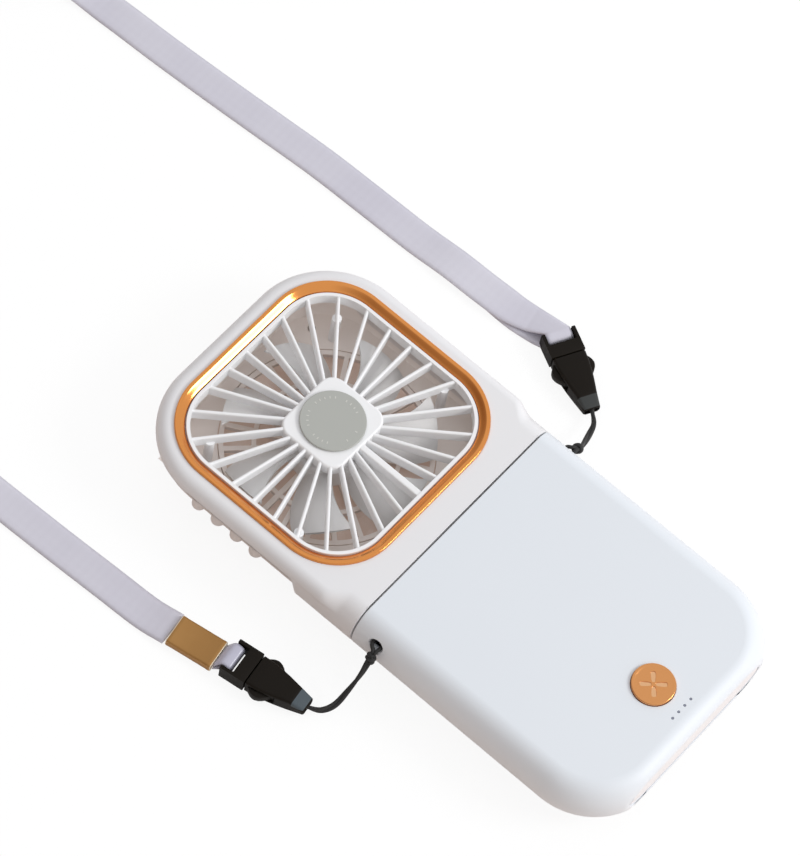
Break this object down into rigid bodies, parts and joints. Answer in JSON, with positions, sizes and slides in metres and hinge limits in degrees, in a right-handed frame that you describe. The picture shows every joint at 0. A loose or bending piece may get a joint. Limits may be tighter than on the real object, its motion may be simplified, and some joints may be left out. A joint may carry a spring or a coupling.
{
  "type": "portable folding fan",
  "caption": "Pocket fan whose square head folds behind a flat battery body, with a push button and a ribbon neck lanyard on side-release buckles.",
  "frame": {"origin": "on the floor, under the middle of the length of the unfolded fan lying on its back", "axes": "+Y from the battery body to the fan head, +Z out of the front grille, +X to the right seen from the front with the head up"},
  "size_m": [0.147, 0.3879, 0.0204],
  "materials": {
    "shell_white": "fine matt white moulding",
    "head_white": "fine matt warm white moulding",
    "grille_white": "satin white moulding",
    "blade_white": "thin satin white moulding",
    "copper_chrome": "copper coloured plating",
    "badge_grey": "plain grey disc",
    "steel": "plain steel",
    "coil_copper": "enamelled wire",
    "black_plastic": "fine black moulding",
    "black_cord": "braided cord",
    "rubber_grey": "soft rubber",
    "ribbon_lilac": "satin ribbon",
    "cell_silver": "wrapped cell",
    "board_green": "lacquered board",
    "lamp_clear": "clear moulding"
  },
  "bodies": {
    "battery_body": {"body_front_shell": "shell_white", "body_rear_shell": "shell_white", "port_cover": "head_white", "strap_crimp": "copper_chrome", "body_screw_1": "steel", "body_screw_2": "steel", "body_screw_3": "steel", "body_screw_4": "steel", "hinge_bracket_body": "steel", "hinge_bracket_body_screw_left": "steel", "hinge_bracket_body_screw_right": "steel", "hinge_pin": "steel", "usb_a_socket": "steel", "usb_c_socket": "steel", "tact_switch": "steel", "lanyard_pin_left": "steel", "lanyard_pin_right": "steel", "left_buckle_socket": "black_plastic", "right_buckle_socket": "black_plastic", "left_buckle_plug": "black_plastic", "right_buckle_plug": "black_plastic", "left_cord_loop": "black_cord", "right_cord_loop": "black_cord", "strap_tie": "black_cord", "body_foot_left": "rubber_grey", "body_foot_right": "rubber_grey", "strap_coil": "ribbon_lilac", "strap_keeper_loop": "ribbon_lilac", "strap_left": "ribbon_lilac", "strap_right": "ribbon_lilac", "battery_cell": "cell_silver", "circuit_board": "board_green", "led_light_pipe": "lamp_clear"},
    "fan_head": {"head_front_shell": "head_white", "head_rear_shell": "head_white", "rear_grille": "head_white", "front_grille": "grille_white", "copper_trim_ring": "copper_chrome", "grille_badge": "badge_grey", "head_screw_1": "steel", "head_screw_2": "steel", "head_screw_3": "steel", "head_screw_4": "steel", "hinge_bracket_head": "steel", "hinge_bracket_head_screw_left": "steel", "hinge_bracket_head_screw_right": "steel", "motor_stator": "coil_copper", "head_foot_left": "rubber_grey", "head_foot_right": "rubber_grey"},
    "fan_rotor": {"impeller": "blade_white", "motor_rotor": "steel", "motor_shaft": "steel"},
    "button": {"power_button": "copper_chrome", "switch_plunger": "black_plastic"}
  },
  "joints": [
    {"name": "head_fold", "type": "hinge", "parent": "battery_body", "child": "fan_head", "pos_m": [0, 0.00105, 0.00165], "axis": [-1, 0, 0], "range_deg": [0, 180]},
    {"name": "fan_spin", "type": "hinge", "parent": "fan_head", "child": "fan_rotor", "pos_m": [0, 0.04258, 0.0106], "axis": [0, 0, 1], "continuous": true},
    {"name": "button_press", "type": "slide", "parent": "battery_body", "child": "button", "axis": [0, 0, -1], "range_m": [0, 0.0006], "stiffness_N_per_m": 1600}
  ]
}
